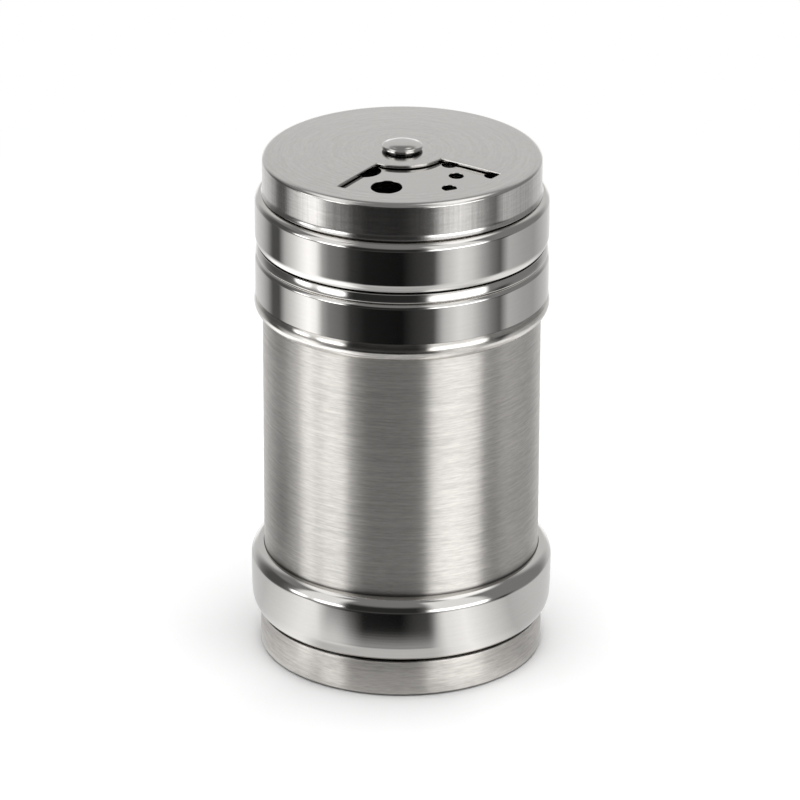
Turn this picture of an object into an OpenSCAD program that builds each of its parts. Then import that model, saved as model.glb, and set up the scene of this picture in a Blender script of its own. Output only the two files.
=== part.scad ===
// Stainless steel spice shaker: a turning selector cap over a perforated screw lid, on a banded can.
// The origin is the centre of the rest face, and +Z runs up the axis.

/* [Sheet metal] */
// Thickness of the formed steel sheet
sheet_t = 0.4; // [0.3:0.05:0.5]
// Radial gap where one sleeve is pressed over another
press_gap = 0.04; // [0.02:0.01:0.06]
// Gap between faces that slide or bear on each other
slip_gap = 0.03; // [0.02:0.01:0.06]

/* [Base cup] */
// Thickness of the base cup
base_t = 0.5; // [0.4:0.05:0.6]
// Height of the base cup's rim above the rest face
base_h = 5.4; // [4:0.1:9]
// Round at the foot of the base cup
base_corner_r = 0.4; // [0.2:0.05:0.8]
// Diameter of the raised panel under the base
panel_d = 31; // [20:0.5:33]
// Rise of that panel above the rest face
panel_rise = 0.6; // [0.3:0.1:1]

/* [Brushed tube] */
// Outer diameter of the brushed tube
tube_d = 39.7; // [36:0.1:46]
// Height of brushed tube between the lower band and the bead
tube_h = 36.25; // [20:0.01:70]

/* [Lower band] */
// Open groove between the base cup's rim and the lower band
groove_h = 0.6; // [0.4:0.1:1.2]
// How far the lower band stands out from the tube
band_step = 1.87; // [1.6:0.01:2.6]
// Height of the lower band
band_h = 9.55; // [8:0.01:14]
// How far the lower band's shoulder draws in
band_shoulder_w = 1.75; // [1:0.05:1.8]
// Height of the lower band's shoulder
band_shoulder_h = 2.1; // [1:0.1:2.6]
// Height of the curl at the lower band's bottom edge
band_curl_h = 2.2; // [1.5:0.1:3]
// How far that curl draws in
band_curl_in = 0.85; // [0.4:0.05:1]

/* [Bead and collar] */
// Height of the rolled bead under the collar
bead_h = 2.9; // [2.4:0.05:3.2]
// How far the bead stands out from the tube
bead_step = 1.2; // [1.1:0.01:1.3]
// Half width of the ellipse that rounds the bead's top
bead_top_r = 1; // [0.8:0.05:1.1]
// Height of the collar's flat and its round
collar_h = 6; // [4.5:0.1:10]
// How far the collar stands out from the tube
collar_step = 1.04; // [0.95:0.01:1.5]
// Round at the top of the collar's flat
collar_round_r = 0.75; // [0.4:0.05:0.9]
// Height of the narrow rim above the collar's round
rim_h = 1.45; // [1.2:0.05:2]
// Round at the edges of that rim
rim_round_r = 0.2; // [0.1:0.05:0.3]
// Radius of that rim's bulged wall, which leans in at its top
rim_bulge_r = 6; // [5:0.5:10]
// Lean of that wall at its foot
rim_lean = 6; // [0:1:8]

/* [Screw lid] */
// Gap between the collar's rim and the closed lid
lid_gap = 0.27; // [0.05:0.01:0.3]
// Height of the lid's polished ring
lid_h = 7.2; // [6:0.01:12]
// How far the lid's ring stands out from the tube
lid_step = 1.05; // [0.95:0.01:1.5]
// Radius of the hem that draws in under the lid's ring
hem_r = 2.6; // [1.6:0.1:3]
// Round of the lid's shoulder
lid_shoulder_r = 1.05; // [0.5:0.05:1.1]
// Thickness of the thread ring inside the lid
thread_ring_t = 0.9; // [0.7:0.05:1]
// Radial gap between the neck and the thread ring
thread_gap = 0.3; // [0.2:0.05:0.4]
// Thickness of the sealing ring
seal_t = 0.8; // [0.5:0.1:1.2]

/* [Sifter plate] */
// Diameter of the coarse holes
coarse_d = 4.4; // [3:0.1:5]
// Diameter of the fine holes
fine_d = 2.1; // [1.2:0.1:2.6]

/* [Selector cap] */
// Gap between the lid's shoulder and the cap's skirt
skirt_gap = 0.26; // [0.15:0.01:0.5]
// Height of the selector cap at its rim
cap_h = 5.42; // [4:0.01:8]
// How far the cap stands inside the lid's ring
cap_inset = 1.07; // [0.8:0.01:1.5]
// Width of the round at the cap's top edge
cap_round_w = 1.25; // [0.8:0.05:1.3]
// Height of that round
cap_round_h = 0.6; // [0.5:0.05:1]
// Radius of the flare at the foot of the cap's skirt
flare_r = 2; // [1.5:0.1:3]
// Rise of the crowned top from its rim to its centre
cap_crown = 0.62; // [0.1:0.02:0.8]
// Gap between the cap and the sifter plate, and round its wall
cap_play = 0.15; // [0.1:0.01:0.25]

/* [Selector window] */
// Angle of the window's sides to each other
window_spread = 94.8; // [60:0.2:100]
// Direction that the window faces
window_facing = -77.4; // [-180:0.2:180]
// Distance before the pivot of the point where the window's sides would meet
window_lead = 0.2; // [0:0.1:1]
// Inner radius of the window
window_inner_r = 6.4; // [4.2:0.1:7]
// Outer radius of the window
window_outer_r = 15.6; // [12:0.1:16]

/* [Pivot] */
// Diameter of the rivet's shank
shank_d = 2.5; // [2:0.1:3]
// Radial running clearance on the shank
pivot_play = 0.05; // [0.02:0.01:0.1]
// Diameter of the rivet's head
head_d = 5.84; // [5.4:0.02:6.5]
// Height of the rivet's head
head_h = 0.95; // [0.7:0.05:1.3]
// Width of the round at the head's edge
head_round_w = 0.4; // [0.2:0.05:0.6]
// Diameter of the washer under the head
washer_d = 5; // [4.2:0.1:5.2]
// Height of that washer
washer_h = 0.2; // [0.16:0.01:0.3]
// Edge round of the head's lower edge and of the washer
washer_round_r = 0.12; // [0.05:0.01:0.15]
// Diameter of the spring washer under the plate
spring_d = 6.4; // [5.2:0.1:7]
// Thickness of the spring washer
spring_t = 0.3; // [0.2:0.05:0.4]
// Dish of the spring washer
spring_dish = 0.35; // [0.2:0.05:0.5]
// Thickness of the flat washer at the rivet's tail
backing_t = 0.5; // [0.3:0.05:0.7]
// Height of the rivet's upset tail
tail_h = 0.8; // [0.6:0.1:1.2]

/* [Hidden] */

round_fn = 96;
arc_steps = 8;
crown_steps = 5;
cut_over = 1;
edge_chamfer = 0.1;
hem_sweep = 30;
flare_sweep = 26;
bead_sweep = 72;
bead_top_sweep = 42;
bead_top_steps = 3;

// Angle and share of the plate's radius for each hole that the window can uncover
coarse_place_shares = [[-99.9, 0.658], [-127.3, 0.441], [-143.9, 0.692]];
fine_place_shares = [[-47.6, 0.581], [-62.5, 0.737], [-33.5, 0.411], [-31.7, 0.765], [-2.9, 0.699], [7.8, 0.453]];

// Radii, from the tube outwards and inwards
tube_r = tube_d / 2;
base_r = tube_r + press_gap + base_t;
band_r = tube_r + band_step;
bead_r = tube_r + bead_step;
collar_r = tube_r + collar_step;
rim_r = collar_r - edge_chamfer;
sleeve_r = collar_r - sheet_t - press_gap;
lid_r = tube_r + lid_step;
thread_ring_r = lid_r - sheet_t - press_gap;
neck_r = thread_ring_r - thread_ring_t - thread_gap;
seal_r = lid_r - lid_shoulder_r - press_gap;
cap_r = lid_r - cap_inset;
wall_r = cap_r - sheet_t - cap_play;
shank_r = shank_d / 2;
pivot_bore_r = shank_r + pivot_play;
head_r = head_d / 2;

// Heights, from the rest face up
z_band = base_h + groove_h;
z_tube = z_band + band_h;
z_bead = z_tube + tube_h;
z_collar = z_bead + bead_h;
z_crease = z_collar + collar_h;
z_rim = z_crease + rim_h;
z_hem = z_rim + lid_gap;
z_hem_round = z_hem + hem_r * sin(hem_sweep);
z_shoulder = z_hem + lid_h;
z_seal_top = z_shoulder - sheet_t - slip_gap;
z_seal = z_seal_top - seal_t;
z_neck = z_seal - slip_gap;
z_skirt = z_shoulder + skirt_gap;
z_cap = z_skirt + cap_h;
z_plate = z_cap - sheet_t - cap_play;
z_cap_centre = z_cap + cap_crown;
z_plate_centre = z_plate + cap_crown;

// Points of a round from angle a0 to a1 about a centre in the radius and height plane.
// A rise of its own makes it a stretch of an ellipse.
function arc(centre, r, a0, a1, first = 0, rise = undef, steps = arc_steps) =
    [for (i = [first:steps]) let (a = a0 + (a1 - a0) * i / steps)
        centre + [r * cos(a), (is_undef(rise) ? r : rise) * sin(a)]];

// Points of a crowned top from its rim radius in to the radius r_in
function crown(r_rim, r_in, z, rise) =
    [for (i = [1:crown_steps]) let (r = r_rim + (r_in - r_rim) * i / crown_steps)
        [r, z + rise * (1 - pow(r / r_rim, 2))]];

// Closed outline of a sheet whose outer face follows the path p
function side_normal(a, b) = let (d = (b - a) / norm(b - a)) [-d[1], d[0]];
function inner_point(p, i, t) =
    let (a = side_normal(p[max(i, 1) - 1], p[max(i, 1)]),
         b = side_normal(p[min(i, len(p) - 2)], p[min(i, len(p) - 2) + 1]),
         m = a + b)
    p[i] + m * (2 * t / (m * m));
function sheet(p, t) = concat(p, [for (i = [len(p) - 1:-1:0]) inner_point(p, i, t)]);

module turned(points) {
    rotate_extrude($fn = round_fn) polygon(points);
}

module disc(r, z_low, z_high) {
    translate([0, 0, z_low]) cylinder(r = r, h = z_high - z_low, $fn = round_fn);
}

module bore(r, z_low, z_high) {
    disc(r, z_low - cut_over, z_high + cut_over);
}

// Drawn cup with a raised panel in its floor, which carries the can
module base_cup() {
    panel_r = panel_d / 2;
    inner_r = base_r - base_t;
    color([0.66, 0.65, 0.64])
        turned(concat(
            [[0, panel_rise], [panel_r, panel_rise], [panel_r + panel_rise, 0]],
            arc([base_r - base_corner_r, base_corner_r], base_corner_r, -90, 0),
            [[base_r, base_h - edge_chamfer], [base_r - edge_chamfer, base_h], [inner_r, base_h],
             [inner_r, base_t], [panel_r + panel_rise, base_t], [panel_r, panel_rise + base_t],
             [0, panel_rise + base_t]]));
}

// Polished ring over the foot of the tube, curled in at its bottom edge
module lower_band() {
    curl_r = (pow(band_curl_h, 2) + pow(band_curl_in, 2)) / (2 * band_curl_in);
    curl_sweep = asin(band_curl_h / curl_r);
    z_curl = z_band + band_curl_h;
    color([0.8, 0.8, 0.79])
        turned(sheet(concat(
            arc([band_r - curl_r, z_curl], curl_r, -curl_sweep, 0),
            arc([band_r - band_shoulder_w, z_tube - band_shoulder_h], band_shoulder_w, 0, 90,
                rise = band_shoulder_h),
            [[tube_r + press_gap, z_tube]]), sheet_t));
}

// Drawn tube: straight wall, rolled bead, sleeve under the collar and neck
module body_tube() {
    round_r = bead_step / (1 - cos(bead_sweep));
    z_bead_max = z_bead + round_r * sin(bead_sweep);
    z_bead_top = z_collar - slip_gap;
    z_cone = z_crease - (sleeve_r - neck_r);
    color([0.72, 0.71, 0.7])
        turned(sheet(concat(
            [[tube_r, base_t + press_gap]],
            arc([bead_r - round_r, z_bead_max], round_r, -bead_sweep, 0),
            arc([bead_r - bead_top_r, z_bead_max], bead_top_r, 0, bead_top_sweep, first = 1,
                rise = (z_bead_top - z_bead_max) / sin(bead_top_sweep), steps = bead_top_steps),
            [[sleeve_r, z_bead_top], [sleeve_r, z_cone - sheet_t],
             [neck_r, z_crease - sheet_t], [neck_r, z_neck]]), sheet_t));
}

// Polished trim ring: flat, round, crease and narrow rim
module neck_collar() {
    inner_r = collar_r - sheet_t;
    hole_r = neck_r + press_gap;
    z_cone = z_crease - (inner_r - hole_r);
    foot = [rim_r - rim_round_r, z_crease + edge_chamfer + rim_round_r];
    bulge_in = rim_bulge_r - rim_round_r;
    top_lean = asin(sin(rim_lean) + (z_rim - rim_round_r - foot[1]) / bulge_in);
    bulge = foot - bulge_in * [cos(rim_lean), sin(rim_lean)];
    color([0.78, 0.78, 0.77])
        turned(concat(
            [[collar_r - edge_chamfer, z_collar], [collar_r, z_collar + edge_chamfer]],
            arc([collar_r - collar_round_r, z_crease - collar_round_r], collar_round_r, 0, 90),
            arc(foot, rim_round_r, -90, rim_lean),
            arc(bulge, rim_bulge_r, rim_lean, top_lean, first = 1),
            arc(bulge + bulge_in * [cos(top_lean), sin(top_lean)], rim_round_r, top_lean, 90, first = 1),
            [[hole_r, z_rim], [hole_r, z_crease], [inner_r, z_cone], [inner_r, z_collar]]));
}

// Soft ring held in the lid, which seals on the neck
module seal_ring() {
    color([0.86, 0.86, 0.84])
        difference() {
            disc(seal_r, z_seal, z_seal_top);
            bore(neck_r - sheet_t, z_seal, z_seal_top);
        }
}

// Insert that carries the lid's thread, held by the rolled hem
module thread_ring() {
    inner_r = thread_ring_r - thread_ring_t;
    color([0.7, 0.7, 0.69])
        turned([[inner_r + edge_chamfer, z_hem_round], [thread_ring_r, z_hem_round],
                [thread_ring_r, z_seal - slip_gap], [inner_r, z_seal - slip_gap],
                [inner_r, z_hem_round + edge_chamfer]]);
}

// Holes of one size in the plate, each at its angle and share of the plate's radius
module plate_holes(place_shares, d) {
    for (place = place_shares)
        rotate([0, 0, place[0]]) translate([place[1] * wall_r, 0, 0]) bore(d / 2, z_plate - sheet_t, z_plate_centre);
}

// Stepped screw lid drawn from one sheet, with the sifter plate as its top
module sifter_lid() {
    color([0.79, 0.79, 0.78])
        difference() {
            turned(sheet(concat(
                arc([lid_r - hem_r, z_hem_round], hem_r, -hem_sweep, 0),
                arc([lid_r - lid_shoulder_r, z_shoulder - lid_shoulder_r], lid_shoulder_r, 0, 90),
                [[wall_r, z_shoulder]],
                arc([wall_r - cap_round_w, z_plate - cap_round_h], cap_round_w, 0, 90, rise = cap_round_h),
                crown(wall_r - cap_round_w, shank_r / 2, z_plate, cap_crown)), sheet_t));
            bore(pivot_bore_r, z_plate, z_plate_centre);
            plate_holes(coarse_place_shares, coarse_d);
            plate_holes(fine_place_shares, fine_d);
        }
}

// Outline of the window: a sector with round ends, whose sides meet behind the pivot
module window_outline() {
    side = 2 * tube_d;
    half = window_spread / 2;
    rotate([0, 0, window_facing])
        difference() {
            intersection() {
                circle(r = window_outer_r, $fn = round_fn);
                translate([window_lead, 0])
                    polygon([[0, 0], side * [cos(half), -sin(half)], side * [cos(half), sin(half)]]);
            }
            circle(r = window_inner_r, $fn = round_fn);
        }
}

// Turning cover whose window uncovers one group of holes at a time
module selector_cap() {
    color([0.74, 0.73, 0.72])
        difference() {
            turned(sheet(concat(
                arc([cap_r + flare_r, z_skirt + flare_r * sin(flare_sweep)], flare_r, 180 + flare_sweep, 180),
                arc([cap_r - cap_round_w, z_cap - cap_round_h], cap_round_w, 0, 90, rise = cap_round_h),
                crown(cap_r - cap_round_w, shank_r / 2, z_cap, cap_crown)), sheet_t));
            bore(pivot_bore_r, z_cap, z_cap_centre);
            translate([0, 0, z_plate]) linear_extrude(z_cap_centre - z_plate + cut_over) window_outline();
        }
}

// Polished washer between the cap and the rivet's head
module rivet_washer() {
    washer_r = washer_d / 2;
    z_low = z_cap_centre + slip_gap;
    color([0.85, 0.85, 0.84])
        turned(concat(
            [[pivot_bore_r, z_low], [washer_r, z_low]],
            arc([washer_r - washer_round_r, z_low + washer_h - washer_round_r], washer_round_r, 0, 90),
            [[pivot_bore_r, z_low + washer_h]]));
}

// Rivet with a low domed head, its shank and its upset tail
module pivot_rivet() {
    z_head = z_cap_centre + washer_h + 2 * slip_gap;
    z_tail = z_plate_centre - sheet_t - spring_t - spring_dish - backing_t - 4 * slip_gap;
    dome_rise = head_h / 3;
    head_round_h = head_h - dome_rise - washer_round_r;
    tail_r = shank_r * 1.5;
    color([0.86, 0.86, 0.85])
        turned(concat(
            [[0, z_tail - tail_h], [shank_r, z_tail - tail_h], [tail_r, z_tail - tail_h / 2], [tail_r, z_tail],
             [shank_r, z_tail], [shank_r, z_head]],
            arc([head_r - washer_round_r, z_head + washer_round_r], washer_round_r, -90, 0),
            arc([head_r - head_round_w, z_head + washer_round_r], head_round_w, 0, 75, rise = head_round_h,
                first = 1),
            crown(head_r - head_round_w, 0, z_head + head_h - dome_rise, dome_rise)));
}

// Dished washer that keeps the cap from turning by itself
module spring_washer() {
    spring_r = spring_d / 2;
    z_top = z_plate_centre - cap_crown * pow(spring_r / wall_r, 2) - sheet_t - slip_gap;
    color([0.6, 0.6, 0.6])
        turned([[pivot_bore_r, z_top - spring_dish], [spring_r, z_top], [spring_r, z_top - spring_t],
                [pivot_bore_r, z_top - spring_dish - spring_t]]);
}

// Flat washer that the rivet's tail is upset against
module backing_washer() {
    z_top = z_plate_centre - sheet_t - spring_t - spring_dish - 3 * slip_gap;
    color([0.62, 0.62, 0.62])
        difference() {
            disc(head_r, z_top - backing_t, z_top);
            bore(pivot_bore_r, z_top - backing_t, z_top);
        }
}

base_cup();
lower_band();
body_tube();
neck_collar();
seal_ring();
thread_ring();
sifter_lid();
selector_cap();
rivet_washer();
pivot_rivet();
spring_washer();
backing_washer();
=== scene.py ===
import math

import bmesh
import bpy
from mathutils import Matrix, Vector, geometry


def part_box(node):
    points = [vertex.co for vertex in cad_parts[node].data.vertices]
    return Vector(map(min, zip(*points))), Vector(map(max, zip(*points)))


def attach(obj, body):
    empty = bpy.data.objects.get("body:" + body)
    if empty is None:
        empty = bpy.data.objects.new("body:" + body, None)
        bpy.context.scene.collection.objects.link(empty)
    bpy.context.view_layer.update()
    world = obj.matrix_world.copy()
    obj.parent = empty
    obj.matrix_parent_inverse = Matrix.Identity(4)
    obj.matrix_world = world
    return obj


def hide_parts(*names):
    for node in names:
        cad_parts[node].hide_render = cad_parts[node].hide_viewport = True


# Profiles are worked out in millimetres, and meshes are made in metres
MM = 0.001

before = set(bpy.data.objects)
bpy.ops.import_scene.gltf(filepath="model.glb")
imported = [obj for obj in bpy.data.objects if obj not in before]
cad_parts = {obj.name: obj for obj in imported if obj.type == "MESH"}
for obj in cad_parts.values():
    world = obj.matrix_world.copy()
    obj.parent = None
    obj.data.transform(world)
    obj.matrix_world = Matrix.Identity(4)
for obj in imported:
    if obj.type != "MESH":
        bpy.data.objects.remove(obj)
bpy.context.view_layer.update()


def cad(node):
    """Outer radius, bottom and top of a round CAD node, in millimetres."""
    low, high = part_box(node)
    return high.x / MM, low.z / MM, high.z / MM


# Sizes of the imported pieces
base_r, _, base_top = cad("base_cup")
band_r, band_low, band_top = cad("lower_band")
bead_r, tube_low, neck_top = cad("body_tube")
collar_r, collar_low, rim_top = cad("neck_collar")
seal_r, seal_low, seal_top = cad("seal_ring")
thread_ring_r, thread_ring_low, thread_ring_top = cad("thread_ring")
lid_r, hem_low, plate_centre = cad("sifter_lid")
skirt_r, _, cap_centre = cad("selector_cap")
washer_r, washer_low, washer_top = cad("rivet_washer")
head_r, tail_low, rivet_top = cad("pivot_rivet")
spring_r, spring_low, spring_top = cad("spring_washer")
backing_r, backing_low, backing_top = cad("backing_washer")

# Sheet metal, as the construction has it
sheet_t = 0.4
base_t = 0.5
press_gap = 0.04
slip_gap = 0.03
edge_round = 0.07

# Base cup, with a panel pressed up into its underside
base_corner_r = 0.4
panel_r = 15.5
panel_rise = 0.6

# Lower band
band_shoulder_w = 1.75
band_shoulder_h = 2.1
band_belly = 0.12
band_curl_h = 2.2
band_curl_in = 0.85

# Tube and its rolled bead
tube_r = base_r - press_gap - base_t
bead_low = 51.8
bead_sweep = 72
bead_top_r = 1.0
bead_top_sweep = 42

# Collar, and the thread under the lid. It runs out over a part of a turn on the neck, and over a
# height at both ends of its ring
collar_crease = 60.7
collar_round_r = 0.75
rim_inset = 0.1
rim_round_r = 0.2
rim_bulge_r = 6.0
rim_lean = 6
ring_wall = 0.9
thread_play = 0.3
ring_bore_r = thread_ring_r - ring_wall
neck_r = ring_bore_r - thread_play
thread_pitch = 3.0
thread_height = 0.2
thread_width = 1.1
thread_turns = 1.6
thread_start = 63.3
neck_run_out = 0.08
ring_run_out = 0.4
face_margin = 0.01
seal_round = 0.15

# Lid
hem_r = 2.6
hem_sweep = 30
shoulder_top = 69.62
shoulder_r = 1.05

# Selector cap, and the lid's stepped wall inside it
flare_r = 2.0
flare_sweep = 26
skirt_foot = 69.88
cap_r = skirt_r - flare_r * (1 - math.cos(math.radians(flare_sweep)))
cap_round_w = 1.25
cap_round_h = 0.6
crown_rise = 0.62
cap_gap = 0.15
wall_r = cap_r - sheet_t - cap_gap

# Rivet and washers. The head is a short round wall under a dome
pivot_bore_r = 1.3
shank_r = 1.25
head_foot_r = 0.16
head_round_w = 0.4
head_round_sweep = 75
dome_share = 0.42
dome_power = 3
head_low = washer_top + slip_gap
tail_r = shank_r * 1.5
tail_h = 0.8
tail_taper_h = 0.4
washer_round = 0.12
spring_dish = 0.35

# Holes in the plate: angle and share of the plate's radius
coarse_r = 2.2
fine_r = 1.05
coarse_places = [(-99.9, 0.658), (-127.3, 0.441), (-143.9, 0.692)]
fine_places = [(-47.6, 0.581), (-62.5, 0.737), (-33.5, 0.411),
               (-31.7, 0.765), (-2.9, 0.699), (7.8, 0.453)]

# The window in the selector cap: two straight sides that meet near the axis, and two arcs about it
window_spread = 94.8
window_facing = -77.4
window_lead = 0.2
window_inner_r = 6.4
window_outer_r = 16.0
window_round = 0.16

# Fineness of the meshes, and how close to an edge the points stand that keep its shading true
segments = 256
arc_steps = 14
corner_steps = 5
hole_steps = 48
coarse_steps = 64
window_side_steps = 16
window_arc_steps = 40
edge_steps = 4
bead_top_steps = 4
small_round_steps = 6
band_rows = 12
neck_rows = 64
ring_rows = 48
dome_rows = 16
top_step = 1.1
top_clearance = 0.35
top_hold = 0.05
edge_hold = 0.06
rivet_hold = 0.02

# Distances under which points count as one, and a radius that counts as on the axis
weld_m = 1e-8
top_weld_m = 2e-7
axis_mm = 1e-6
same_mm = 1e-7


def polar(radius, angle):
    """Point in the plane at a radius and an angle in degrees."""
    turn = math.radians(angle)
    return Vector((radius * math.cos(turn), radius * math.sin(turn)))


def spread(start, end, steps, first=0):
    """Evenly spread values from start to end."""
    return [start + (end - start) * i / steps for i in range(first, steps + 1)]


def arc(r, z, radius, start, end, steps=arc_steps, rise=None, first=0):
    """Points of a round in the radius and height plane, elliptic if it has a rise of its own."""
    points = [polar(1, angle) for angle in spread(start, end, steps, first)]
    return [Vector((r + radius * p.x, z + (rise or radius) * p.y)) for p in points]


def left_of(a, b):
    """Unit normal on the left of the way from a to b."""
    d = (b - a).normalized()
    return Vector((-d.y, d.x))


def offset(path, distance, closed=False):
    """The path moved to its left, with mitred corners."""
    moved = []
    for i, p in enumerate(path):
        back, ahead = (i - 1) % len(path), (i + 1) % len(path)
        if not closed:
            back, ahead = max(i - 1, 0), min(i + 1, len(path) - 1)
        before = left_of(path[back], p) if back != i else left_of(p, path[ahead])
        after = left_of(p, path[ahead]) if ahead != i else before
        mitre = before + after
        moved.append(p + mitre * (2 * distance / mitre.length_squared))
    return moved


def eased_end(outer, inner, edge):
    """Points that round the cut edge between the ends of a sheet's two faces."""
    along = (outer[0] - outer[1]).normalized()
    across = (inner[0] - outer[0]).normalized()
    corner_a, corner_b = outer[0] - along * edge, inner[0] - along * edge
    half = edge * (1 - math.sqrt(0.5))
    return [corner_b, inner[0] - (along + across) * half, inner[0] - across * edge,
            outer[0] + across * edge, outer[0] - (along - across) * half, corner_a]


def sheet(path, thickness, closed_end=True):
    """Outline of a formed sheet whose outer face follows the path, with eased edges."""
    outer = [Vector(p) for p in path]
    inner = offset(outer, thickness)
    start = eased_end(outer, inner, edge_round)
    if not closed_end:
        return list(reversed(inner[1:])) + start + outer[1:]
    end = eased_end(outer[::-1], inner[::-1], edge_round)
    return outer[1:-1] + list(reversed(end)) + list(reversed(inner[1:-1])) + start


def held(outline, closed=True, reach=edge_hold):
    """The outline with points near the ends of its long straight runs, for true shading."""
    points = []
    count = len(outline)
    for i in range(count if closed else count - 1):
        a, b = Vector(outline[i]), Vector(outline[(i + 1) % count])
        points.append(a)
        length = (b - a).length
        if length > 6 * reach:
            step = (b - a) * (reach / length)
            points += [a + step, b - step]
    if not closed:
        points.append(Vector(outline[-1]))
    return points


def add_lathe(bm, outline, closed=True, relief=None):
    """Turns an outline about the Z axis. relief says how far out a point at an angle moves."""
    rings = []
    for p in outline:
        if p[0] < axis_mm:
            rings.append([bm.verts.new((0, 0, p[1] * MM))])
            continue
        ring = []
        for k in range(segments):
            angle = 2 * math.pi * k / segments
            r = (p[0] + (relief(angle, p) if relief else 0)) * MM
            ring.append(bm.verts.new((r * math.cos(angle), r * math.sin(angle), p[1] * MM)))
        rings.append(ring)
    following = rings[1:] + rings[:1] if closed else rings[1:]
    for low, high in zip(rings, following):
        if len(low) == 1 and len(high) == 1:
            continue
        for k in range(segments):
            n = (k + 1) % segments
            corners = [low[k % len(low)], low[n % len(low)],
                       high[n % len(high)], high[k % len(high)]]
            bm.faces.new([v for i, v in enumerate(corners) if v not in corners[:i]])


def finish_mesh(name, bm, sharp_angle=35):
    """Makes a smooth-shaded object from a bmesh, with its true edges kept sharp."""
    bmesh.ops.remove_doubles(bm, verts=bm.verts, dist=weld_m)
    bmesh.ops.recalc_face_normals(bm, faces=bm.faces)
    mesh = bpy.data.meshes.new(name)
    bm.to_mesh(mesh)
    bm.free()
    mesh.shade_smooth()
    mesh.set_sharp_from_angle(angle=math.radians(sharp_angle))
    piece = bpy.data.objects.new(name, mesh)
    bpy.context.scene.collection.objects.link(piece)
    return piece


def turned(name, outline, relief=None, closed=True, reach=edge_hold, sharp_angle=35):
    """A turned piece. Its outline is a closed one, or runs from the axis back to the axis."""
    bm = bmesh.new()
    add_lathe(bm, held(outline, closed, reach), closed, relief)
    return finish_mesh(name, bm, sharp_angle)


def circle(radius, centre=(0, 0), count=hole_steps):
    """Closed loop of a round hole, counter-clockwise."""
    return [Vector(centre) + polar(radius, 360 * i / count) for i in range(count)]


def inside(point, loop):
    """Whether a point lies inside a closed loop."""
    hit = False
    for a, b in zip(loop, loop[1:] + loop[:1]):
        if (a.y > point.y) != (b.y > point.y):
            if point.x < a.x + (point.y - a.y) / (b.y - a.y) * (b.x - a.x):
                hit = not hit
    return hit


def widened(loop, distance):
    """The loop of an opening, grown by a distance."""
    return offset(loop, -distance, closed=True)


def crown_height(r, rim_r, rim_z):
    """Height of a crowned top at a radius."""
    return rim_z + crown_rise * (1 - (r / rim_r) ** 2)


def add_pierced_top(bm, rim_r, rim_z, loops, top_round):
    """Crowned top of a drawn sheet, pierced by the loops, with top_round on their upper edges."""
    def crowned_point(p, drop):
        z = crown_height(p.length, rim_r, rim_z) - drop
        return bm.verts.new((p.x * MM, p.y * MM, z * MM))

    rim = circle(rim_r, count=segments)
    opened = [widened(loop, top_round) for loop in loops]
    points, edges = [], []
    for loop in [rim] + opened + [widened(loop, top_round + top_hold) for loop in loops]:
        first = len(points)
        points += loop
        edges += [(first + i, first + (i + 1) % len(loop)) for i in range(len(loop))]
    kept_clear = [widened(loop, top_clearance) for loop in loops]
    for ring in range(1, int(rim_r / top_step) + 1):
        r = rim_r - ring * top_step
        count = max(6, int(2 * math.pi * r / top_step))
        for k in range(count):
            p = polar(r, 360 * (k + 0.5 * (ring % 2)) / count)
            if not any(inside(p, loop) for loop in kept_clear):
                points.append(p)
    flat, _, faces, *_ = geometry.delaunay_2d_cdt(points, edges, [], 0, same_mm)
    kept = [f for f in faces
            if not any(inside((flat[f[0]] + flat[f[1]] + flat[f[2]]) / 3, loop) for loop in opened)]
    for drop in (0, sheet_t):
        made = {}
        for f in kept:
            for i in f:
                if i not in made:
                    made[i] = crowned_point(flat[i], drop)
            bm.faces.new([made[i] for i in f])
    bends = [polar(1, angle) for angle in spread(90, 0, edge_steps)]
    walls = [(top_round * (1 - b.x), top_round * (1 - b.y)) for b in bends]
    walls += [(edge_round * (1 - b.x), sheet_t - edge_round * (1 - b.y)) for b in reversed(bends)]
    walls[-1] = (top_round, sheet_t)
    for loop in loops:
        rings = [[crowned_point(p, drop) for p in (widened(loop, out) if out else loop)]
                 for out, drop in walls]
        for high, low in zip(rings, rings[1:]):
            for i in range(len(loop)):
                n = (i + 1) % len(loop)
                bm.faces.new([high[i], high[n], low[n], low[i]])


def dished_shell(name, path, flat_r, flat_z, loops, top_round=edge_round):
    """A drawn shell: a turned skirt under a crowned and pierced top."""
    outline = sheet(path, sheet_t, closed_end=False)
    outline[0] = Vector((flat_r, flat_z - sheet_t))
    bm = bmesh.new()
    add_lathe(bm, held(outline, closed=False), closed=False)
    add_pierced_top(bm, flat_r, flat_z, loops, top_round)
    bmesh.ops.remove_doubles(bm, verts=bm.verts, dist=top_weld_m)
    return finish_mesh(name, bm)


def window_loop():
    """Outline of the selector window, counter-clockwise."""
    apex = polar(window_lead, window_facing)

    def on_side(turn, radius):
        along = polar(1, window_facing + turn * window_spread / 2)
        b = apex.dot(along)
        return apex + along * (math.sqrt(b * b - apex.length_squared + radius * radius) - b)

    def side(start, end):
        return [start.lerp(end, share) for share in spread(0, 1, window_side_steps)[:-1]]

    def round_side(radius, start, end):
        first, last = (math.degrees(math.atan2(p.y, p.x)) for p in (start, end))
        return [polar(radius, angle) for angle in spread(first, last, window_arc_steps)[:-1]]

    inner_a, outer_a = on_side(-1, window_inner_r), on_side(-1, window_outer_r)
    outer_b, inner_b = on_side(1, window_outer_r), on_side(1, window_inner_r)
    return (side(inner_a, outer_a) + round_side(window_outer_r, outer_a, outer_b)
            + side(outer_b, inner_b) + round_side(window_inner_r, inner_b, inner_a))


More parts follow.
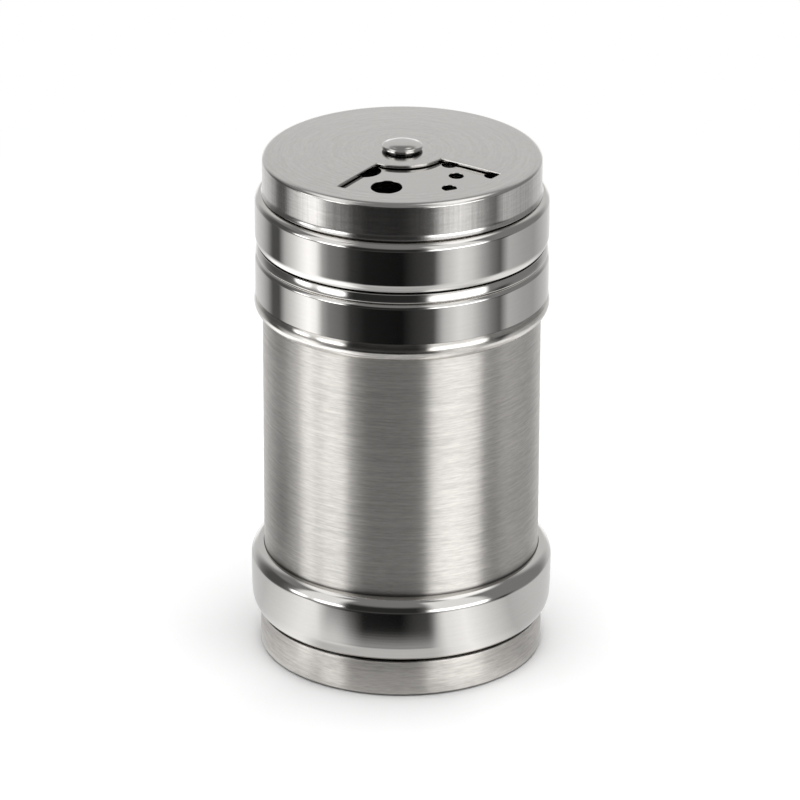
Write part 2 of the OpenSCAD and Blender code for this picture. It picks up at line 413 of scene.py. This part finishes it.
def make_base_cup():
    """Drawn cup with a rounded foot, an eased lip and a pressed underside."""
    inner_r = base_r - base_t
    path = [(0, panel_rise), (panel_r, panel_rise), (panel_r + panel_rise, 0)]
    path += arc(base_r - base_corner_r, base_corner_r, base_corner_r, -90, 0)
    path += [(base_r, base_top - edge_round), (base_r - edge_round, base_top),
             (inner_r + edge_round, base_top), (inner_r, base_top - edge_round), (inner_r, base_t),
             (panel_r + panel_rise, base_t), (panel_r, panel_rise + base_t),
             (0, panel_rise + base_t)]
    return turned("base_cup_shell", path, closed=False, sharp_angle=25)


def make_lower_band():
    """Bellied ring with a round shoulder, curled in at its foot."""
    curl_r = (band_curl_h ** 2 + band_curl_in ** 2) / (2 * band_curl_in)
    curl_sweep = math.degrees(math.asin(band_curl_h / curl_r))
    curl_top, shoulder_low = band_low + band_curl_h, band_top - band_shoulder_h
    path = arc(band_r - band_belly - curl_r, curl_top, curl_r, -curl_sweep, 0)
    path += [(band_r - band_belly * (1 - share) ** 2, curl_top + (shoulder_low - curl_top) * share)
             for share in spread(0, 1, band_rows)[1:-1]]
    path += arc(band_r - band_shoulder_w, shoulder_low, band_shoulder_w, 0, 90, rise=band_shoulder_h)
    path += [(tube_r + press_gap, band_top)]
    return turned("lower_band_ring", sheet(path, sheet_t))


def thread_ridge(angle, height):
    """Share of the thread's height at an angle and height, and the number of turns up to there."""
    turn = height / thread_pitch
    nearest = round(turn - angle / (2 * math.pi)) + angle / (2 * math.pi)
    away = abs(turn - nearest) * thread_pitch / (thread_width / 2)
    return max(0, 1 - away * away), nearest


def neck_thread(angle, p):
    """How far the thread's ridge stands out at a point of the neck's outer face."""
    if p[0] < neck_r - face_margin or p[1] < collar_crease:
        return 0
    ridge, turns = thread_ridge(angle, p[1] - thread_start)
    run = min(turns, thread_turns - turns) / neck_run_out
    return thread_height * max(0, min(1, run)) * ridge


def ring_thread(angle, p):
    """How far the ridge stands in from the ring's bore, half a pitch from the neck's."""
    if p[0] > ring_bore_r + face_margin:
        return 0
    ridge, _ = thread_ridge(angle, p[1] - thread_start - thread_pitch / 2)
    run = min(p[1] - thread_ring_low, thread_ring_top - p[1]) / ring_run_out
    return -thread_height * max(0, min(1, run)) * ridge


def make_body_tube():
    """Tube with a rolled bead, a sleeve under the collar and a threaded neck."""
    bead_step = bead_r - tube_r
    round_r = bead_step / (1 - math.cos(math.radians(bead_sweep)))
    bead_max = bead_low + round_r * math.sin(math.radians(bead_sweep))
    bead_top = collar_low - slip_gap
    top_rise = (bead_top - bead_max) / math.sin(math.radians(bead_top_sweep))
    sleeve_r = collar_r - sheet_t - press_gap
    cone_low = collar_crease - (sleeve_r - neck_r)
    path = [(tube_r, tube_low)]
    path += arc(bead_r - round_r, bead_max, round_r, -bead_sweep, 0)
    path += arc(bead_r - bead_top_r, bead_max, bead_top_r, 0, bead_top_sweep,
                rise=top_rise, steps=bead_top_steps, first=1)
    path += [(sleeve_r, bead_top), (sleeve_r, cone_low - sheet_t), (neck_r, collar_crease - sheet_t)]
    path += [(neck_r, z) for z in spread(collar_crease, neck_top, neck_rows)]
    return turned("body_tube_shell", sheet(path, sheet_t), relief=neck_thread)


def make_neck_collar():
    """Trim ring: upright flat, round, crease and a narrow bulging rim."""
    inner_r = collar_r - sheet_t
    hole_r = neck_r + press_gap
    cone_low = collar_crease - (inner_r - hole_r)
    rim_r = collar_r - rim_inset
    path = [(collar_r - edge_round, collar_low), (collar_r, collar_low + edge_round)]
    path += arc(collar_r - collar_round_r, collar_crease - collar_round_r, collar_round_r, 0, 90)
    foot = Vector((rim_r - rim_round_r, collar_crease + rim_inset + rim_round_r))
    bulge_in = rim_bulge_r - rim_round_r
    top_lean = math.degrees(math.asin(math.sin(math.radians(rim_lean))
                                      + (rim_top - rim_round_r - foot.y) / bulge_in))
    bulge = foot - polar(bulge_in, rim_lean)
    path += arc(*foot, rim_round_r, -90, rim_lean)
    path += arc(*bulge, rim_bulge_r, rim_lean, top_lean, first=1)
    path += arc(*(bulge + polar(bulge_in, top_lean)), rim_round_r, top_lean, 90, first=1)
    path += [(hole_r, rim_top), (hole_r, collar_crease), (inner_r, cone_low), (inner_r, collar_low)]
    return turned("neck_collar_ring", path)


def make_seal():
    """Soft ring between the lid and the top of the neck."""
    inner_r, outer_r = neck_r - sheet_t + seal_round, seal_r - seal_round
    low, high = seal_low + seal_round, seal_top - seal_round
    path = []
    corners = ((outer_r, low, -90), (outer_r, high, 0), (inner_r, high, 90), (inner_r, low, 180))
    for r, z, start in corners:
        path += arc(r, z, seal_round, start, start + 90, corner_steps)
    return turned("seal_ring_gasket", path)


def make_thread_ring():
    """Insert with the lid's thread."""
    path = [(ring_bore_r + edge_round, thread_ring_low), (thread_ring_r, thread_ring_low),
            (thread_ring_r, thread_ring_top)]
    low = thread_ring_low + edge_round
    path += [(ring_bore_r, z) for z in spread(thread_ring_top, low, ring_rows)]
    return turned("thread_ring_insert", path, relief=ring_thread)


def make_sifter_lid():
    """Screw lid: curled hem, round shoulder, and a step up to the pierced plate."""
    flat_r = wall_r - cap_round_w
    plate_z = plate_centre - crown_rise
    hem_top = hem_low + hem_r * math.sin(math.radians(hem_sweep))
    path = arc(lid_r - hem_r, hem_top, hem_r, -hem_sweep, 0)
    path += arc(lid_r - shoulder_r, shoulder_top - shoulder_r, shoulder_r, 0, 90)
    path += [(wall_r, shoulder_top)]
    path += arc(flat_r, plate_z - cap_round_h, cap_round_w, 0, 90, rise=cap_round_h)
    loops = [circle(pivot_bore_r)]
    loops += [circle(coarse_r, polar(share * wall_r, angle), coarse_steps)
              for angle, share in coarse_places]
    loops += [circle(fine_r, polar(share * wall_r, angle)) for angle, share in fine_places]
    return dished_shell("sifter_lid_shell", path, flat_r, plate_z, loops)


def make_selector_cap():
    """Turning cap: flared skirt, a flat wide round at its rim, and the window."""
    flat_r = cap_r - cap_round_w
    cap_z = cap_centre - crown_rise
    flare_top = skirt_foot + flare_r * math.sin(math.radians(flare_sweep))
    path = arc(cap_r + flare_r, flare_top, flare_r, 180 + flare_sweep, 180)
    path += arc(flat_r, cap_z - cap_round_h, cap_round_w, 0, 90, rise=cap_round_h)
    loops = [circle(pivot_bore_r), window_loop()]
    return dished_shell("selector_cap_shell", path, flat_r, cap_z, loops, top_round=window_round)


def make_rivet_washer():
    """Thin washer under the rivet's head."""
    path = [(pivot_bore_r, washer_low), (washer_r, washer_low)]
    path += arc(washer_r - washer_round, washer_top - washer_round, washer_round, 0, 90,
                steps=small_round_steps)
    path += [(pivot_bore_r, washer_top)]
    return turned("rivet_washer_ring", path)


def make_rivet():
    """Rivet with a flanged tail, a shank and a domed head."""
    head_h = rivet_top - head_low
    dome_h = head_h * dome_share
    dome_r = head_r - head_round_w
    round_low = head_low + head_foot_r
    round_h = head_h - dome_h - head_foot_r
    tail_top = tail_low + tail_h
    path = [(0, tail_low), (shank_r, tail_low), (tail_r, tail_low + tail_taper_h),
            (tail_r, tail_top), (shank_r, tail_top), (shank_r, head_low)]
    path += arc(head_r - head_foot_r, round_low, head_foot_r, -90, 0, steps=small_round_steps)
    path += arc(dome_r, round_low, head_round_w, 0, head_round_sweep, rise=round_h, first=1)
    path += [(dome_r * share, rivet_top - dome_h * share ** dome_power)
             for share in spread(1, 0, dome_rows, first=1)]
    return turned("pivot_rivet_body", path, closed=False, reach=rivet_hold, sharp_angle=40)


def make_spring_washer():
    """Dished washer under the plate."""
    path = [(pivot_bore_r, spring_top - spring_dish), (spring_r, spring_top),
            (spring_r, spring_low + spring_dish), (pivot_bore_r, spring_low)]
    return turned("spring_washer_disc", path)


def make_backing_washer():
    """Flat washer at the rivet's tail."""
    path = [(pivot_bore_r, backing_low), (backing_r, backing_low), (backing_r, backing_top),
            (pivot_bore_r, backing_top)]
    return turned("backing_washer_disc", path)


# Colours
steel_colour = (0.635, 0.62, 0.6)
tube_colour = (0.645, 0.624, 0.594)
# The base cup's steel is darker, as painted shade for the shadowed floor that it reflects
base_painted_shade_colour = (0.6, 0.576, 0.545)
bare_colour = (0.52, 0.51, 0.5)
silicone_colour = (0.8, 0.8, 0.77)

# Brushing is noise that runs slowly round the axis and quickly along the profile, here per metre
fine_brushing = (9.0, 3600)
broad_brushing = (1.5, 2700)
broad_share = 0.7
streak_gloss = 0.1
brush_direction = 0.25
axis_m = 1e-5

# Other grain, per metre, and how level a face is where it counts as a wall and as a top
upright_grain = (3200.0, 3200.0, 60.0)
wall_slope, top_slope = 0.2, 0.6
cloud_scale = 110.0
mottle_scale = 900.0
mottle_tint = 0.08
mottle_gloss = 0.1
mottle_depth = 0.02
polished_roughness = 0.09
rubber_roughness = 0.4

# Lines of painted shade and highlight: heights in millimetres, and levels against the unshaded steel
painted_shade_level = 0.15
joint_shade_reach = 0.45
joint_shade_level = 0.3
worn_from, worn_to = 1.1, 0.4
worn_level = 1.3
base_foot_shade_h = 0.45
tube_foot_shade_h = 0.4
rivet_shade_h = 0.12
rivet_shade_reach = 0.06


def add(tree, kind, inputs=None, **settings):
    """A node with its settings and inputs. An input is a value or another node's output."""
    node = tree.nodes.new(kind)
    for key, value in settings.items():
        setattr(node, key, value)
    for key, value in (inputs or {}).items():
        if isinstance(value, bpy.types.NodeSocket):
            tree.links.new(value, node.inputs[key])
        else:
            node.inputs[key].default_value = value
    return node


def math_node(tree, operation, *values):
    """Output of a Math node."""
    inputs = dict(enumerate(values))
    return add(tree, "ShaderNodeMath", inputs, operation=operation).outputs[0]


def smooth(tree, value, low, high):
    """Rises softly from 0 where the value is low to 1 where it is high."""
    return add(tree, "ShaderNodeMapRange", {"Value": value, "From Min": low, "From Max": high},
               interpolation_type="SMOOTHSTEP").outputs[0]


def noise(tree, vector, scale=1.0, detail=2.0, roughness=0.5):
    """Noise from 0 to 1, with a mean of one half."""
    return add(tree, "ShaderNodeTexNoise", {"Vector": vector, "Scale": scale, "Detail": detail,
                                            "Roughness": roughness}).outputs["Fac"]


def split(tree, vector):
    """The vector's three parts."""
    return add(tree, "ShaderNodeSeparateXYZ", {0: vector}).outputs


def distance(tree, vector):
    """The vector's length."""
    return add(tree, "ShaderNodeVectorMath", {0: vector}, operation="LENGTH").outputs["Value"]


def own_place(tree):
    """The place on the piece, in metres of its own frame."""
    return add(tree, "ShaderNodeTexCoord").outputs["Object"]


def joined(tree, x, y, z):
    """A vector of three parts."""
    return add(tree, "ShaderNodeCombineXYZ", {0: x, 1: y, 2: z}).outputs[0]


def multiplied(tree, first, second):
    """Two vectors or colours, multiplied part by part."""
    return add(tree, "ShaderNodeVectorMath", {0: first, 1: second}, operation="MULTIPLY").outputs[0]


def tinted(tree, colour, tint):
    """The colour times the tint."""
    return multiplied(tree, colour, joined(tree, tint, tint, tint))


def graded(tree, tint, share, low, high):
    """The tint times a level, which goes from low to high as the share goes from 0 to 1."""
    level = math_node(tree, "MULTIPLY_ADD", share, high - low, low)
    return math_node(tree, "MULTIPLY", tint, level)


def new_material(name):
    """A material without nodes, and its tree."""
    material = bpy.data.materials.new(name)
    material.use_nodes = True
    material.node_tree.nodes.clear()
    return material, material.node_tree


def use_shader(tree, shader):
    """Makes the shader the surface of the material."""
    add(tree, "ShaderNodeOutputMaterial", {"Surface": shader.outputs[0]})


def brush_vector(tree, around, across):
    """Coordinates that run slowly round the axis and quickly along the turned profile."""
    x, y, z = split(tree, own_place(tree))
    squares = [math_node(tree, "MULTIPLY", value, value) for value in (x, y)]
    radius = math_node(tree, "SQRT", math_node(tree, "ADD", *squares))
    safe = math_node(tree, "MAXIMUM", radius, axis_m)
    round_x, round_y = (math_node(tree, "MULTIPLY", math_node(tree, "DIVIDE", value, safe), around)
                        for value in (x, y))
    along = math_node(tree, "MULTIPLY", math_node(tree, "SUBTRACT", z, radius), across)
    return joined(tree, round_x, round_y, along)


def upright_streaks(tree, place):
    """Streaks from top to bottom on upright walls, about zero, and none on tops."""
    grain = noise(tree, multiplied(tree, place, upright_grain), detail=3.0)
    normal = add(tree, "ShaderNodeNewGeometry").outputs["Normal"]
    slope = math_node(tree, "ABSOLUTE", split(tree, normal)[2])
    wall = smooth(tree, slope, top_slope, wall_slope)
    return math_node(tree, "MULTIPLY", math_node(tree, "SUBTRACT", grain, 0.5), wall)


def steel(name, colour, roughness, anisotropy, streak=0.0, scratch=0.0, wave=0.0, cloud=0.0,
          drawn=0.0, polished_above=None, dark_below=None, dark_reach=0.3, joint_below=None,
          joint_above=None):
    """Steel with turned brushing.

    streak tints the brushing, cloud varies the gloss, and drawn streaks upright walls from top to
    bottom. scratch and wave are the depths of the brushing and of soft dents. They and the rest are
    in millimetres. The finish is polished above polished_above. Painted shade darkens the colour
    over dark_reach down from dark_below. There is painted shade just above a joint at joint_below,
    and a painted highlight under one at joint_above.
    """
    material, tree = new_material(name)
    place = own_place(tree)
    up = split(tree, place)[2]
    fine = noise(tree, brush_vector(tree, *fine_brushing), roughness=0.75)
    broad = noise(tree, brush_vector(tree, *broad_brushing))
    soft = noise(tree, place, scale=cloud_scale, detail=1.0)

    brushing = math_node(tree, "MULTIPLY_ADD", broad, broad_share,
                         math_node(tree, "SUBTRACT", fine, (1 + broad_share) / 2))
    tint = math_node(tree, "MULTIPLY_ADD", brushing, streak, 1.0)
    if drawn:
        tint = math_node(tree, "MULTIPLY_ADD", upright_streaks(tree, place), drawn, tint)
    # Painted shade, darkening down from dark_below
    if dark_below:
        unshaded = smooth(tree, up, (dark_below - dark_reach) * MM, dark_below * MM)
        tint = graded(tree, tint, unshaded, painted_shade_level, 1.0)
    # Painted shade just above a joint
    if joint_below:
        unshaded = smooth(tree, up, joint_below * MM, (joint_below + joint_shade_reach) * MM)
        tint = graded(tree, tint, unshaded, joint_shade_level, 1.0)
    # Painted highlight under a joint
    if joint_above:
        worn = smooth(tree, up, (joint_above - worn_from) * MM, (joint_above - worn_to) * MM)
        tint = graded(tree, tint, worn, 1.0, worn_level)

    clouds = math_node(tree, "MULTIPLY", math_node(tree, "SUBTRACT", soft, 0.5), cloud)
    uneven = math_node(tree, "MULTIPLY_ADD", brushing, streak * streak_gloss, clouds)
    gloss = math_node(tree, "ADD", uneven, roughness)
    if polished_above:
        bright = math_node(tree, "GREATER_THAN", up, polished_above * MM)
        gloss = add(tree, "ShaderNodeMix", {"Factor": bright, "A": gloss,
                                            "B": polished_roughness}).outputs[0]

    dents = math_node(tree, "MULTIPLY", soft, wave)
    height = math_node(tree, "MULTIPLY_ADD", fine, scratch, dents)
    bump = add(tree, "ShaderNodeBump", {"Strength": 1.0, "Distance": MM,
                                        "Height": height}).outputs[0]
    tangent = add(tree, "ShaderNodeTangent", direction_type="RADIAL", axis="Z").outputs[0]
    use_shader(tree, add(tree, "ShaderNodeBsdfPrincipled", {
        "Base Color": tinted(tree, colour, tint), "Metallic": 1.0, "Roughness": gloss,
        "Anisotropic": anisotropy, "Anisotropic Rotation": brush_direction, "Tangent": tangent,
        "Normal": bump}))
    return material


def rubber(name, colour):
    """Soft, faintly mottled rubber that lets a little light in."""
    material, tree = new_material(name)
    mottle = noise(tree, own_place(tree), scale=mottle_scale)
    uneven = math_node(tree, "SUBTRACT", mottle, 0.5)
    tint = math_node(tree, "MULTIPLY_ADD", uneven, mottle_tint, 1.0)
    gloss = math_node(tree, "MULTIPLY_ADD", mottle, mottle_gloss, rubber_roughness)
    bump = add(tree, "ShaderNodeBump", {"Strength": 0.3, "Distance": mottle_depth * MM,
                                        "Height": mottle}).outputs[0]
    use_shader(tree, add(tree, "ShaderNodeBsdfPrincipled", {
        "Base Color": tinted(tree, colour, tint), "Roughness": gloss, "Normal": bump,
        "Subsurface Weight": 0.15, "Subsurface Scale": 0.5 * MM}))
    return material


def place_piece(piece, node, body, material):
    """Stands the piece in for its CAD node, on its body and material."""
    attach(piece, body)
    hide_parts(node)
    piece.data.materials.append(material)


polished = steel("polished_steel", steel_colour, roughness=0.08, anisotropy=0.2, streak=0.06,
                 scratch=0.0004, wave=0.003, cloud=0.03)
# Rivet steel with painted shade at the underside of the head, in the gap over the washer
rivet_steel = steel("rivet_steel", steel_colour, roughness=0.08, anisotropy=0.1, streak=0.05,
                    scratch=0.0004, cloud=0.03, dark_below=head_low + rivet_shade_h,
                    dark_reach=rivet_shade_reach)
# The tube has painted shade at its foot in the band's groove and just above the band's top
brushed = steel("brushed_tube_steel", tube_colour, roughness=0.33, anisotropy=1.0, streak=0.62,
                scratch=0.002, wave=0.002, cloud=0.05, polished_above=bead_low,
                dark_below=band_low + tube_foot_shade_h, joint_below=band_top)
# The base cup has painted shade at its foot and a painted highlight along its top, under the band
base_steel = steel("brushed_base_steel", base_painted_shade_colour, roughness=0.33, anisotropy=1.0, streak=0.8,
                   scratch=0.002, cloud=0.08, dark_below=base_foot_shade_h, joint_above=band_low)
satin = steel("satin_cap_steel", steel_colour, roughness=0.15, anisotropy=0.35, streak=0.25,
              scratch=0.001, wave=0.003, cloud=0.05, drawn=0.4)
bare = steel("bare_steel", bare_colour, roughness=0.34, anisotropy=0.4, streak=0.12,
             scratch=0.001, cloud=0.08)
silicone = rubber("seal_silicone", silicone_colour)

place_piece(make_base_cup(), "base_cup", "container", base_steel)
place_piece(make_lower_band(), "lower_band", "container", polished)
place_piece(make_body_tube(), "body_tube", "container", brushed)
place_piece(make_neck_collar(), "neck_collar", "container", polished)
place_piece(make_seal(), "seal_ring", "seal", silicone)
place_piece(make_thread_ring(), "thread_ring", "lid", bare)
place_piece(make_sifter_lid(), "sifter_lid", "lid", polished)
# The washer lies wholly in the rivet steel's painted shade, so it is painted dark all over
place_piece(make_rivet_washer(), "rivet_washer", "lid", rivet_steel)
place_piece(make_rivet(), "pivot_rivet", "lid", rivet_steel)
place_piece(make_spring_washer(), "spring_washer", "lid", bare)
place_piece(make_backing_washer(), "backing_washer", "lid", bare)
place_piece(make_selector_cap(), "selector_cap", "selector", satin)

# Studio that the metal reflects, and that the camera doesn't see. Azimuth 0 is towards the camera
# and 90 to its right, and elevation 0 is the horizon. Both are in degrees. Each fade runs from the
# elevation where a layer starts to the one where it is full
under_level = 0.4
table_level = 0.68
room_level = 0.26
table_fade = (-72, -56)
low_fade = (-36, -28)
room_fade = (-19, -12)

# Brightness all round just below the horizon: azimuth and level
low_light = [
    (-180, 0.9), (-150, 0.76), (-139, 0.6), (-131, 0.42), (-122, 0.1), (-112, 0.09), (-104, 0.62),
    (-94, 0.97), (-84, 1.4), (-78, 1.6), (-71, 1.4), (-65, 0.5), (-59, 0.26), (-48, 0.17),
    (-41, 0.05), (-28, 0.012), (0, 0.004), (10, 0.045), (25, 0.085), (33, 0.7), (46, 1.08),
    (56, 0.9), (66, 0.5), (74, 0.27), (83, 0.12), (92, 0.62), (110, 0.5), (125, 0.45), (140, 0.58),
    (180, 0.9)]

# Cards and panels: azimuth from and to, elevation from and to, softness of the upright edges and of
# the level edges, level of light
cards = [
    (32, 72, -58, -30, 14, 10, 1.05), (-150, -42, -58, -30, 14, 8, 1.7),
    (76, 150, -58, -30, 12, 8, 1.12), (-40, 22, -64, -42, 12, 6, 0.55),
    (138, 200, -18, 42, 14, 8, 0.73), (-200, -138, -18, 42, 12, 8, 0.73),
    (160, 200, -18, 6, 6, 5, 1.2), (-200, -158, -18, 6, 5, 5, 1.2),
    (-125, -92, -16, 26, 10, 6, 0.1), (-44, 18, -17, 26, 8, 10, 0.03),
    (74, 90, -17, -8, 8, 3, 0.05),
    (-84, -45, -6, 52, 5, 6, 1.1), (22, 66, -11, 60, 5, 6, 1.1),
    (-88, -75, -6, 4, 4, 4, 3.6), (-65, -45, -6, 4, 4, 4, 4.6), (22, 66, -11, 3, 5, 4, 3.4),
    (-155, -70, 51, 68, 10, 5, 1.3), (56, 164, 54, 76, 10, 6, 1.5)]

# Light that lies on the table round the foot. It reaches far at the sides and little in front, and
# changes from front to side over a pair of azimuths on the left and another on the right
side_light = [
    (-180, 0.75), (-100, 0.7), (-80, 0.92), (-62, 1.2), (-42, 1.2), (-36, 0.8), (20, 1.0),
    (38, 1.33), (54, 0.95), (70, 0.64), (90, 0.72), (180, 0.75)]
side_light_r, side_blur = 58, 6
front_light_r, front_blur = 34, 8
front_light = 0.68
front_left = (-40, -57)
front_right = (15, 27)
table_light_h = 0.1
table_light_margin = 8

# The floor, in metres, and the distances over which it turns evenly white
floor_colour = (0.93, 0.93, 0.93, 1)
floor_half = 2.0
floor_fade = (0.1, 0.22)


def azimuth_of(tree, x, y):
    """Azimuth in degrees of a direction from the axis."""
    angle = math_node(tree, "ARCTAN2", x, math_node(tree, "MULTIPLY", y, -1))
    return math_node(tree, "MULTIPLY", angle, 180 / math.pi)


def light_ramp(tree, azimuth, levels):
    """Brightness by azimuth, from a list of azimuth and level."""
    brightest = max(level for _, level in levels)
    share = math_node(tree, "MULTIPLY_ADD", azimuth, 1 / 360, 0.5)
    ramp = add(tree, "ShaderNodeValToRGB", {0: share})
    stops = ramp.color_ramp.elements
    for at, _ in levels[1:-1]:
        stops.new(at / 360 + 0.5)
    for stop, (_, level) in zip(stops, levels):
        stop.color = (level / brightest,) * 3 + (1,)
    return math_node(tree, "MULTIPLY", ramp.outputs[0], brightest)


def blended(tree, under, over, share):
    """The level over covers the level under by a share."""
    kept = math_node(tree, "MULTIPLY", under, math_node(tree, "SUBTRACT", 1.0, share))
    return math_node(tree, "MULTIPLY_ADD", over, share, kept)


def card_share(tree, azimuth, elevation, left, right, bottom, top, side_soft, level_soft):
    """How much of a card shows in a direction. It has no side edge at or beyond 180 degrees."""
    shown = 1.0
    for value, edge, soft, turn in ((azimuth, left, side_soft, 1), (azimuth, right, side_soft, -1),
                                    (elevation, bottom, level_soft, 1),
                                    (elevation, top, level_soft, -1)):
        if abs(edge) < 180:
            part = smooth(tree, value, edge - turn * soft, edge + turn * soft)
            shown = math_node(tree, "MULTIPLY", shown, part)
    return shown


def make_world():
    """Studio light all round: table below, panels and dark cards at the sides, dim room above."""
    world = bpy.data.worlds.new("studio")
    bpy.context.scene.world = world
    world.use_nodes = True
    tree = world.node_tree
    tree.nodes.clear()
    x, y, z = split(tree, add(tree, "ShaderNodeTexCoord").outputs["Generated"])
    azimuth = azimuth_of(tree, x, y)
    elevation = math_node(tree, "MULTIPLY", math_node(tree, "ARCSINE", z), 180 / math.pi)
    level = under_level
    for (start, full), layer in ((table_fade, table_level),
                                 (low_fade, light_ramp(tree, azimuth, low_light)),
                                 (room_fade, room_level)):
        level = blended(tree, level, layer, smooth(tree, elevation, start, full))
    for *edges, card_level in cards:
        level = blended(tree, level, card_level, card_share(tree, azimuth, elevation, *edges))
    in_view = add(tree, "ShaderNodeLightPath").outputs["Is Camera Ray"]
    shown = add(tree, "ShaderNodeMix", {"Factor": in_view, "A": level, "B": 1.0}).outputs[0]
    background = add(tree, "ShaderNodeBackground", {"Color": (1, 1, 1, 1), "Strength": shown})
    add(tree, "ShaderNodeOutputWorld", {"Surface": background.outputs[0]})
    world.cycles_visibility.diffuse = False


def stage_square(name, half, height, material):
    """A level square about the axis, as a part of the stage. Its sizes are in metres."""
    bm = bmesh.new()
    corners = ((-1, -1), (1, -1), (1, 1), (-1, 1))
    bm.faces.new([bm.verts.new((x * half, y * half, height)) for x, y in corners])
    mesh = bpy.data.meshes.new(name)
    bm.to_mesh(mesh)
    bm.free()
    mesh.materials.append(material)
    thing = bpy.data.objects.new(name, mesh)
    bpy.context.scene.collection.objects.link(thing)
    return thing


def make_floor():
    """A white floor that takes soft shadows near the object and stays evenly white further out."""
    material, tree = new_material("floor_paint")
    paint = add(tree, "ShaderNodeBsdfPrincipled", {
        "Base Color": floor_colour, "Roughness": 0.3, "Specular IOR Level": 0.2})
    far = add(tree, "ShaderNodeEmission", {"Strength": 1.0})
    use_shader(tree, add(tree, "ShaderNodeMixShader", {
        0: smooth(tree, distance(tree, own_place(tree)), *floor_fade),
        1: paint.outputs[0], 2: far.outputs[0]}))
    floor = stage_square("floor", floor_half, 0, material)
    floor.visible_glossy = False
    floor.visible_shadow = False


def make_table_light():
    """Light on the table that only the metal reflects: short in front, long at the sides."""
    material, tree = new_material("table_light")
    place = own_place(tree)
    x, y, _ = split(tree, place)
    radius = distance(tree, place)
    azimuth = azimuth_of(tree, x, y)
    at_side = math_node(tree, "ADD", smooth(tree, azimuth, *front_left),
                        smooth(tree, azimuth, *front_right))
    front_reach, side_reach = (smooth(tree, radius, (reach + blur) * MM, (reach - blur) * MM)
                               for reach, blur in ((front_light_r, front_blur),
                                                   (side_light_r, side_blur)))
    level = blended(tree, front_light, light_ramp(tree, azimuth, side_light), at_side)
    glow = add(tree, "ShaderNodeEmission", {"Strength": level}).outputs[0]
    clear = add(tree, "ShaderNodeBsdfTransparent").outputs[0]
    use_shader(tree, add(tree, "ShaderNodeMixShader", {
        0: blended(tree, front_reach, side_reach, at_side), 1: clear, 2: glow}))
    half = side_light_r + table_light_margin
    light = stage_square("table_light", half * MM, table_light_h * MM, material)
    light.visible_camera = False
    light.visible_diffuse = False
    light.visible_transmission = False
    light.visible_shadow = False


def make_softbox(name, size, place, watts):
    """Soft light from above for the floor. The metal reflects the cards instead."""
    light = bpy.data.lights.new(name, "AREA")
    light.shape = "SQUARE"
    light.size = size
    light.energy = watts
    box = bpy.data.objects.new(name, light)
    box.location = place
    box.visible_glossy = False
    bpy.context.scene.collection.objects.link(box)


def make_camera():
    """The photograph's camera, as fitted to the object's ellipses, with reach in millimetres."""
    pitch, lean = math.radians(23.3489), math.radians(0.16)
    reach, target_z = 842.351, 37.5
    focal_px, image_px = 5861.84, 800
    centre_x_px, centre_y_px = 401.589, 399.152
    data = bpy.data.cameras.new("camera")
    data.sensor_width = 36
    data.lens = focal_px / image_px * data.sensor_width
    data.shift_x = (image_px / 2 - centre_x_px) / image_px
    data.shift_y = (centre_y_px - image_px / 2) / image_px
    data.clip_start, data.clip_end = 0.05, 10
    camera = bpy.data.objects.new("camera", data)
    back, up = reach * math.cos(pitch), reach * math.sin(pitch)
    camera.location = Vector((0, -back, target_z + up)) * MM
    camera.rotation_mode = "ZYX"
    camera.rotation_euler = (math.pi / 2 - pitch, 0, lean)
    bpy.context.scene.collection.objects.link(camera)
    bpy.context.scene.camera = camera


make_world()
make_floor()
make_table_light()
make_softbox("ceiling_panel", size=3.0, place=(0, 0, 1.2), watts=31)
make_softbox("softbox", size=0.34, place=(0.02, -0.02, 0.62), watts=2.3)
make_camera()
bpy.context.scene.view_settings.view_transform = "Standard"
